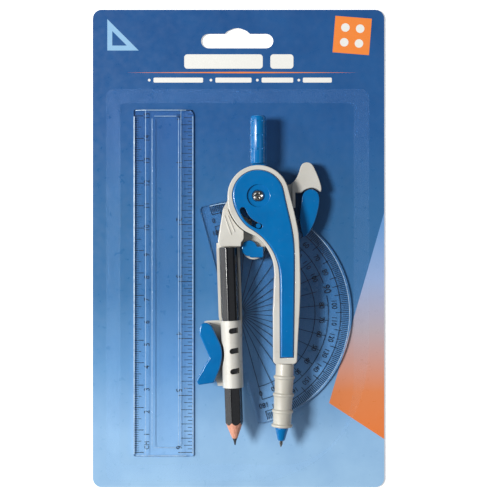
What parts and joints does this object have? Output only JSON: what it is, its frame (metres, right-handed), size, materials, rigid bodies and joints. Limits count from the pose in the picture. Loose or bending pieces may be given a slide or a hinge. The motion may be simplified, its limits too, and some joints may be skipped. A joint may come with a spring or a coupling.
{
  "type": "drafting compass set",
  "caption": "Backing card with clear ruler, protractor and a self-centring school compass holding a short pencil, all free to lift or slide off the card.",
  "frame": {"origin": "middle of the backing card's rear face, where the card lies on a table", "axes": "+Y along the card towards the hanging slot, +Z out of the printed face towards the tools, +X to the right of the printed face"},
  "size_m": [0.13, 0.213, 0.0163],
  "materials": {
    "card": "gloss-coated printed card, dark blue at the top to light blue at the foot",
    "film": "thin clear film",
    "clear_plastic": "clear moulded polystyrene with black printed graduations",
    "white_plastic": "satin cream-white moulded plastic",
    "soft_white": "satin cream-white ringed grip",
    "blue_plastic": "glossy bright blue moulded plastic",
    "steel": "plated steel",
    "brass": "turned brass",
    "black_paint": "black lacquered pencil casing",
    "bare_wood": "freshly sharpened wood",
    "graphite": "graphite, slightly metallic"
  },
  "bodies": {
    "card": {"backing_card": "card", "blister_rim": "film"},
    "ruler": {"ruler": "clear_plastic"},
    "protractor": {"protractor": "clear_plastic"},
    "main_leg": {"leg_rear_shell": "white_plastic", "leg_front_shell": "white_plastic", "leg_panel": "blue_plastic", "pivot_screw": "steel", "pivot_nut": "steel", "rear_washer": "steel", "front_washer": "steel", "grip_sleeve": "soft_white", "needle_chuck": "brass"},
    "nose_cone": {"nose_cone": "blue_plastic"},
    "needle": {"needle": "steel"},
    "handle": {"handle_bracket": "blue_plastic", "handle_grip": "blue_plastic"},
    "guide_peg": {"guide_peg": "blue_plastic"},
    "arm": {"arm_plate": "white_plastic", "arm_inlay": "blue_plastic", "tail_leaf": "blue_plastic", "pencil_holder": "white_plastic", "clamp_pin": "steel"},
    "clamp_lever": {"clamp_lever": "blue_plastic"},
    "pencil": {"pencil_casing": "black_paint", "pencil_point": "bare_wood", "pencil_lead": "graphite"}
  },
  "joints": [
    {"name": "ruler_lift", "type": "slide", "parent": "card", "child": "ruler", "axis": [0, 0, 1], "range_m": [0, 0.03]},
    {"name": "protractor_slide", "type": "slide", "parent": "card", "child": "protractor", "axis": [1, 0, 0], "range_m": [0, 0.06]},
    {"name": "compass_lift", "type": "slide", "parent": "card", "child": "main_leg", "axis": [0, 0, 1], "range_m": [0, 0.04]},
    {"name": "arm_swing", "type": "hinge", "parent": "main_leg", "child": "arm", "pos_m": [0.00871, 0.02279, 0.008], "axis": [0, 0, -1], "range_deg": [0, 90]},
    {"name": "handle_turn", "type": "hinge", "parent": "main_leg", "child": "handle", "pos_m": [0.00871, 0.02279, 0.008], "axis": [0, 0, -1], "range_deg": [0, 45]},
    {"name": "peg_slide", "type": "slide", "parent": "handle", "child": "guide_peg", "axis": [0, 1, 0], "range_m": [0, 0.00371]},
    {"name": "clamp_release", "type": "hinge", "parent": "arm", "child": "clamp_lever", "pos_m": [-0.0099, -0.0454, 0.011], "axis": [0, 0, -1], "range_deg": [0, 8]},
    {"name": "pencil_slide", "type": "slide", "parent": "arm", "child": "pencil", "axis": [0.0339, -0.9994, 0], "range_m": [0, 0.062]},
    {"name": "nose_turn", "type": "hinge", "parent": "main_leg", "child": "nose_cone", "pos_m": [0.0204, -0.0494, 0.011], "axis": [0.0478, 0.9989, 0], "range_deg": [0, 180]},
    {"name": "needle_slide", "type": "slide", "parent": "main_leg", "child": "needle", "axis": [0.0478, 0.9989, 0], "range_m": [0, 0.003]}
  ],
  "couplings": [
    {"joint": "handle_turn", "follows": "arm_swing", "ratio": 0.5},
    {"joint": "peg_slide", "follows": "arm_swing", "m_per_rad": 0.0023555}
  ]
}
